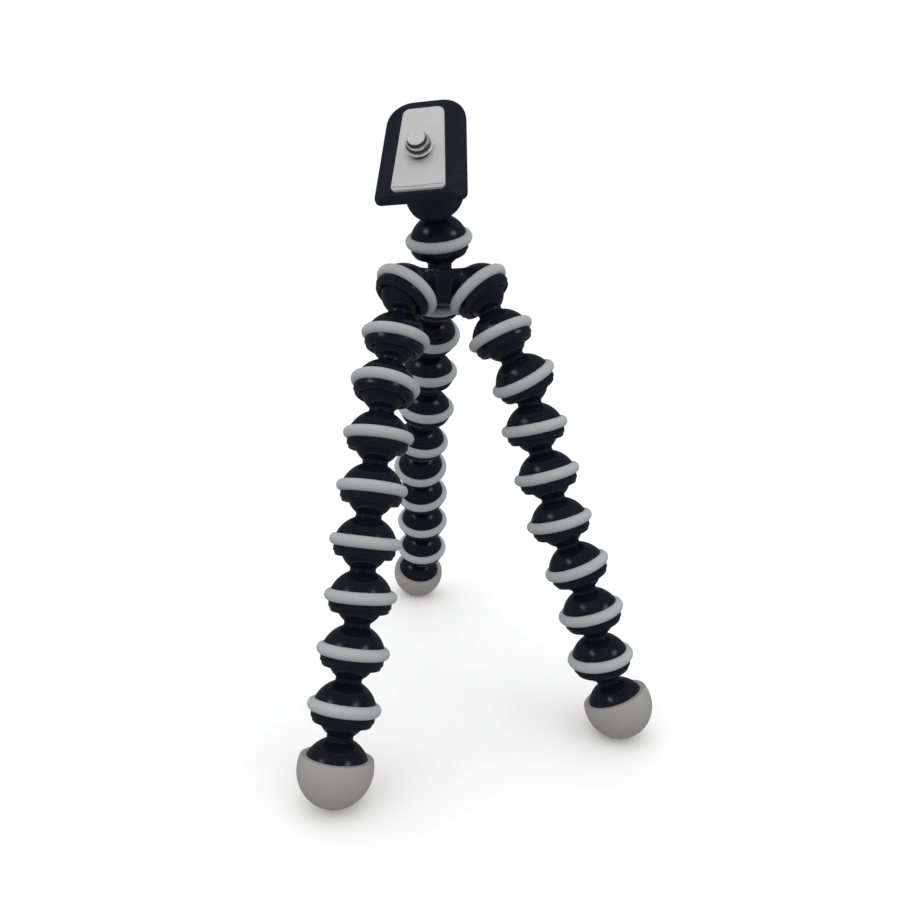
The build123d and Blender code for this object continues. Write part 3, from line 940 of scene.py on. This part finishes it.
def shrink_ring(points, amount):
    """Moves every point of a ring inwards along its own normal."""
    count = len(points)
    moved = []
    for k, point in enumerate(points):
        along = points[(k + 1) % count] - points[k - 1]
        inward = Vector((-along.y, along.x)).normalized()
        moved.append(point + inward * amount)
    return moved


def clip_heel(points, lift):
    """Lifts a ring's heel and makes its two rounded corners there straight cuts."""
    cut = list(points)
    for first in (0, CORNER_STEPS + 1):
        start, end = points[first], points[first + CORNER_STEPS]
        for j in range(CORNER_STEPS + 1):
            cut[first + j] = start.lerp(end, j / CORNER_STEPS) + Vector((0.0, lift))
    return cut


def stacked_mesh(name, rings):
    """Closed mesh through rings of points at given heights, capped at both ends."""
    mesh = bpy.data.meshes.new(name)
    with edited(mesh) as work:
        made = [[work.verts.new((p.x, p.y, z)) for p in ring] for ring, z in rings]
        for lower, upper in zip(made, made[1:]):
            count = len(lower)
            for k in range(count):
                following = (k + 1) % count
                work.faces.new((lower[k], lower[following], upper[following], upper[k]))
        work.faces.new(list(reversed(made[0])))
        work.faces.new(made[-1])
    return mesh


class TRIPOD_OT_plate(bpy.types.Operator):
    """Builds the camera plate with its flanks, the bed for the pad, the stem and the bowl."""
    bl_idname = "tripod.plate"
    bl_label = "Build plate"

    def execute(self, context):
        sizes, shades = chosen(context)
        plastic = finish_named("satin_plastic", shades)
        low, top = sizes.plate_rise, deck_height(sizes)
        wall_top = low + sizes.wall_height
        edge, deck = plate_outline(sizes, 0.0), plate_outline(sizes, 1.0)
        bed = shrink_ring(deck, sizes.pad_margin)
        soft = 0.35 * MM            # rounding of the edges
        flat_inset = 2.2 * MM       # from the edge to the one flat face of the underside
        bulge = 0.05                # of the flanks, as a share of their height
        ledge, brow = 0.012, 0.985  # where the flanks start and the deck's soft edge begins
        rings = [
            (shrink_ring(edge, flat_inset), low),
            (shrink_ring(edge, soft), low),
            (shrink_ring(edge, soft * 0.3), low + soft * 0.3),
            (edge, low + soft),
            (edge, wall_top - soft * 0.8),
        ]
        for share in (0.0, 0.04, 0.10, 0.3, 0.6, 0.85, 0.94):
            rise = wall_top + sizes.slope_height * (share + bulge * sin(pi * share))
            rings.append((plate_outline(sizes, share + ledge), rise))
        rings += [
            (plate_outline(sizes, brow), top - 0.03 * MM),
            (deck, top),
            (shrink_ring(deck, sizes.pad_margin * 0.8), top),
            (bed, top - 0.06 * MM),
            (bed, top - sizes.pad_bed),
        ]
        slab = stacked_mesh("plate_slab", rings)
        slab.transform(plate_place())
        profile = self.stem_profile(sizes)
        stem = turned_mesh("plate_stem", profile, False, [plate_place()], sizes.round_steps, plastic)
        mesh = joined_mesh("plate_shell", slab, stem)
        make_piece("plate_shell", mesh, plastic, "plate", "plate_plastic", "plate")
        return {"FINISHED"}

    def stem_profile(self, sizes):
        """Bowl and stem from the plate's underside to the bowl's edge and over the seat."""
        rise = sizes.plate_rise
        bowl_top = sqrt(sizes.bowl_radius**2 - sizes.stem_radius**2)
        start = degrees(asin(bowl_top / sizes.bowl_radius))
        end = -degrees(asin(sizes.bowl_drop / sizes.bowl_radius))
        edge_z = sizes.bowl_flare - sizes.bowl_drop
        edge_r = sqrt(sizes.seat_radius**2 - edge_z**2)
        sunk = rise + 0.2 * MM      # the stem's end lies inside the plate
        points = [(0.0, sunk)]
        points += rounded([
            (sizes.stem_foot_radius, sunk, 0.0),
            (sizes.stem_foot_radius, rise, 0.0),
            (sizes.stem_radius, rise - sizes.stem_foot_height, 0.8 * MM),
            (sizes.stem_radius, bowl_top, 0.0),
        ], 6)
        points += arc((0.0, 0.0), sizes.bowl_radius, start, end, 24)[1:]
        points += [(edge_r + sizes.bowl_flare, -sizes.bowl_drop), (edge_r, edge_z)]
        lip = degrees(asin(edge_z / sizes.seat_radius))
        points += arc((0.0, 0.0), sizes.seat_radius, lip, 90, SEAT_STEPS)[1:]
        return points


class TRIPOD_OT_pad(bpy.types.Operator):
    """Builds the rubber pad that the camera rests on."""
    bl_idname = "tripod.pad"
    bl_label = "Build pad"

    def execute(self, context):
        sizes, shades = chosen(context)
        grey = finish_named("rest_rubber", shades)
        bottom = deck_height(sizes) - sizes.pad_bed
        top = bottom + sizes.pad_height
        bed = shrink_ring(plate_outline(sizes, 1.0), sizes.pad_margin + sizes.pad_gap)
        heel_lift = 0.5 * MM
        outline = clip_heel(bed, heel_lift)
        soft, steps = 0.22 * MM, 4      # rounding of the upper edge, and faces along it
        rings = [(outline, bottom), (outline, top - soft)]
        for k in range(1, steps + 1):
            turn = pi / 2 * k / steps
            rings.append((shrink_ring(outline, soft * (1 - cos(turn))), top - soft + soft * sin(turn)))
        for inset, dip in ((0.24, 0.0), (0.31, 0.035), (0.38, 0.0)):     # a fine fold along that edge
            rings.append((shrink_ring(outline, inset * MM), top - dip * MM))
        mesh = stacked_mesh("plate_pad_sheet", rings)
        mesh.transform(plate_place())
        make_piece("plate_pad_sheet", mesh, grey, "plate", "pad_rubber", "plate_pad")
        return {"FINISHED"}


class TRIPOD_OT_screw(bpy.types.Operator):
    """Builds the camera screw: a turned core and a helical thread with run-outs."""
    bl_idname = "tripod.screw"
    bl_label = "Build screw"

    def execute(self, context):
        sizes, shades = chosen(context)
        steel = finish_named("bright_steel", shades)
        bottom = deck_height(sizes) - sizes.pad_bed
        pad_top = bottom + sizes.pad_height
        end = pad_top + sizes.screw_rise
        root = sizes.screw_radius - sizes.thread_depth
        low, nose = bottom - sizes.screw_root_height, sizes.screw_nose
        slim, flat_end = 0.34 * MM, 0.46 * MM   # how much the nose loses before its end, and at it
        core = rounded([
            (0.0, low, 0.0),
            (sizes.screw_root_radius, low, 0.0),
            (sizes.screw_root_radius, bottom, 0.0),
            (root, bottom, 0.0),
            (root, end - nose * 2.1, 0.0),
            (root, end - nose * 1.8, 0.1 * MM),
            (root - slim, end - 0.16 * MM, 0.08 * MM),
            (root - flat_end, end, 0.08 * MM),
            (0.0, end, 0.0),
        ], 4)
        body = turned_mesh("screw_core", core, False, [plate_place()], sizes.round_steps, steel)
        buried = 0.35 * MM      # how far the ridge's foot lies inside the core
        values = {
            "Section": self.section(), "Root radius": root - buried,
            "Depth": sizes.thread_depth + buried, "Pitch": sizes.thread_pitch,
            "Turns": (sizes.screw_rise - nose) / sizes.thread_pitch, "Finish": steel,
        }
        ridge = grow("screw_thread", plain_mesh("thread_seed", [(0, 0, 0)]), self.tree(values), values)
        bpy.data.objects.remove(values["Section"])
        ridge.transform(plate_place() @ Matrix.Translation((0.0, 0.0, pad_top + 0.1 * MM)))
        mesh = joined_mesh("camera_screw_thread", body, ridge)
        self.mark_crests(mesh, root, sizes.thread_depth, end, nose)
        make_piece("camera_screw_thread", mesh, steel, "plate", "screw_steel", "camera_screw")
        return {"FINISHED"}

    def section(self):
        """A ridge's section, with x in shares of its depth and y in shares of the pitch."""
        side = [(0.0, 0.48), (0.9, 0.12), (1.0, 0.05)]
        corners = [(x, -y, 0.0) for x, y in side] + [(x, y, 0.0) for x, y in reversed(side)]
        return add_object("thread_section", line_mesh("thread_section", corners, True))

    def mark_crests(self, mesh, root, depth, end, nose):
        """Notes for the steel how far each point stands out of the groove, from 0 to 1; the steel paints
        shade into the grooves by it.
        """
        inward = plate_place().inverted()
        crest = mesh.attributes.new("crest", "FLOAT", "POINT")
        for vertex in mesh.vertices:
            spot = inward @ vertex.co
            out = (spot.to_2d().length - root) / depth
            below = (end - spot.z) / nose   # under the free end, in heights of the nose
            if below < 0.1:                 # the free end gets no painted groove shade and keeps the full bright steel colour
                out = 1.0
            elif 0.6 < below < 1.97:        # and so does most of the bevel, mostly
                out = max(out, 0.8)
            crest.data[vertex.index].value = out

    def tree(self, labels):
        """Sweeps a ridge along a helix that fades out at both ends."""
        recipe = Recipe("Screw thread", *labels)
        root, depth = recipe.given("Root radius"), recipe.given("Depth")
        pitch, turns = recipe.given("Pitch"), recipe.given("Turns")
        path = recipe.node("GeometryNodeCurveSpiral", {
            "Resolution": 72, "Rotations": turns, "Start Radius": root, "End Radius": root,
            "Height": pitch * turns,
        })
        upright = recipe.node("GeometryNodeSetCurveNormal", {"Curve": path}, mode="Z_UP")
        shape = recipe.node("GeometryNodeObjectInfo", {"Object": recipe.given("Section")}, out="Geometry")
        stretch = recipe.node("ShaderNodeCombineXYZ", {"X": -depth, "Y": pitch, "Z": 1.0})
        sized = recipe.node("GeometryNodeTransform", {"Geometry": shape, "Scale": stretch})
        line = recipe.node("GeometryNodeMeshToCurve", {"Mesh": sized})
        along = recipe.node("GeometryNodeSplineParameter", out="Factor")
        grown = along * turns * 2.2                     # full height after about half a turn
        faded = (1.0 - along) * turns * 0.7 + 0.12      # runs out over about the last turn
        ridge = recipe.node("GeometryNodeCurveToMesh", {
            "Curve": upright, "Profile Curve": line,
            "Scale": grown.lower(faded).lower(1.0).higher(0.02), "Fill Caps": True,
        })
        return recipe.deliver(ridge, recipe.given("Finish"))


class TRIPOD_OT_stage(bpy.types.Operator):
    """Sets up the floor, the lights, the sky and the camera."""
    bl_idname = "tripod.stage"
    bl_label = "Build stage"

    def execute(self, context):
        scene, shades = context.scene, context.scene.tripod_finishes
        self.floor(shades)
        self.sky(scene, shades)
        self.lights(shades)
        self.camera(scene)
        scene.view_settings.view_transform = "Standard"
        return {"FINISHED"}

    def floor(self, shades):
        side = 6.0      # metres from the middle, so that no edge shows
        corners = [(-side, -side, 0), (side, -side, 0), (side, side, 0), (-side, side, 0)]
        floor = add_object("floor", plain_mesh("floor", corners, faces=[(0, 1, 2, 3)]))
        floor.data.materials.append(finish_named("white_card", shades))
        floor.visible_glossy = False
        floor.visible_diffuse = False

    def sky(self, scene, shades):
        world = bpy.data.worlds.new("studio")
        world.use_nodes = True
        world.node_tree.nodes.clear()
        wiring = Wiring(world.node_tree)
        ray = {
            kind: wiring.node("ShaderNodeLightPath", out=f"Is {kind} Ray")
            for kind in ("Camera", "Diffuse", "Glossy")
        }
        way = wiring.node("ShaderNodeTexCoord", out="Generated")
        height = wiring.node("ShaderNodeSeparateXYZ", {"Vector": way}, out="Z")
        over = (height * 1.6 + 0.5).higher(0.0).lower(1.0)
        dome = shades.sky * (shades.bounce + (1.0 - shades.bounce) * over)
        strength = ray["Camera"] * shades.backdrop + ray["Diffuse"] * dome + ray["Glossy"] * shades.gleam
        light = wiring.node("ShaderNodeBackground", {"Color": (1.0, 1.0, 1.0, 1.0), "Strength": strength})
        wiring.node("ShaderNodeOutputWorld", {"Surface": light})
        scene.world = world

    def lights(self, shades):
        """Softboxes to both sides of the camera, which show as two soft spots on every dome."""
        aim, away = Vector((0.0, 0.0, 0.09)), 0.75
        for name, turn, rise in (("left_softbox", -155, 40), ("right_softbox", -25, 38)):
            a, b = radians(turn), radians(rise)
            spot = aim + Vector((cos(a) * cos(b), sin(a) * cos(b), sin(b))) * away
            lamp = bpy.data.lights.new(name, "AREA")
            lamp.shape = "RECTANGLE"
            lamp.size, lamp.size_y, lamp.energy = 0.28, 0.15, shades.side_lamps
            holder = add_object(name, lamp)
            holder.location = spot
            holder.rotation_euler = (aim - spot).to_track_quat("-Z", "Y").to_euler()

    def camera(self, scene):
        """Camera found by fitting the rings and edges of the object in the photograph."""
        lens = bpy.data.cameras.new("camera")
        picture, middle = 900, (444.9, 460.3)
        lens.sensor_width = 36.0
        lens.lens = lens.sensor_width * 740.6 / picture
        lens.shift_x = 0.5 - middle[0] / picture
        lens.shift_y = middle[1] / picture - 0.5
        lens.clip_start, lens.clip_end = 0.01, 20.0
        camera = add_object("camera", lens)
        right = Vector((0.9997, 0.0, 0.023))
        down = Vector((0.0222, -0.2597, -0.9654))
        forward = Vector((0.0060, 0.9657, -0.2597))
        turned = Matrix((right, -down, -forward)).transposed()
        stand = hub_point() + Vector((1.5, -196.2, -4.1)) * MM
        camera.matrix_world = Matrix.Translation(stand) @ turned.to_4x4()
        scene.camera = camera


class TRIPOD_PT_panel(bpy.types.Panel):
    """Lists the steps that build the tripod."""
    bl_idname = "TRIPOD_PT_panel"
    bl_label = "Tripod"
    bl_space_type = "VIEW_3D"
    bl_region_type = "UI"
    bl_category = "Tripod"

    def draw(self, context):
        for step in STEPS:
            self.layout.operator(step.bl_idname)


STEPS = (
    TRIPOD_OT_stage, TRIPOD_OT_links, TRIPOD_OT_bands, TRIPOD_OT_feet, TRIPOD_OT_boots,
    TRIPOD_OT_hub, TRIPOD_OT_plate, TRIPOD_OT_pad, TRIPOD_OT_screw,
)
CLASSES = (TripodSizes, TripodFinishes, *STEPS, TRIPOD_PT_panel)


def register():
    for item in CLASSES:
        bpy.utils.register_class(item)
    bpy.types.Scene.tripod_sizes = bpy.props.PointerProperty(type=TripodSizes)
    bpy.types.Scene.tripod_finishes = bpy.props.PointerProperty(type=TripodFinishes)


def unregister():
    del bpy.types.Scene.tripod_finishes
    del bpy.types.Scene.tripod_sizes
    for item in reversed(CLASSES):
        bpy.utils.unregister_class(item)


def main():
    """Builds everything in order."""
    register()
    for step in STEPS:
        group, verb = step.bl_idname.split(".")
        getattr(getattr(bpy.ops, group), verb)()
    bpy.context.view_layer.update()


if __name__ == "__main__":
    main()
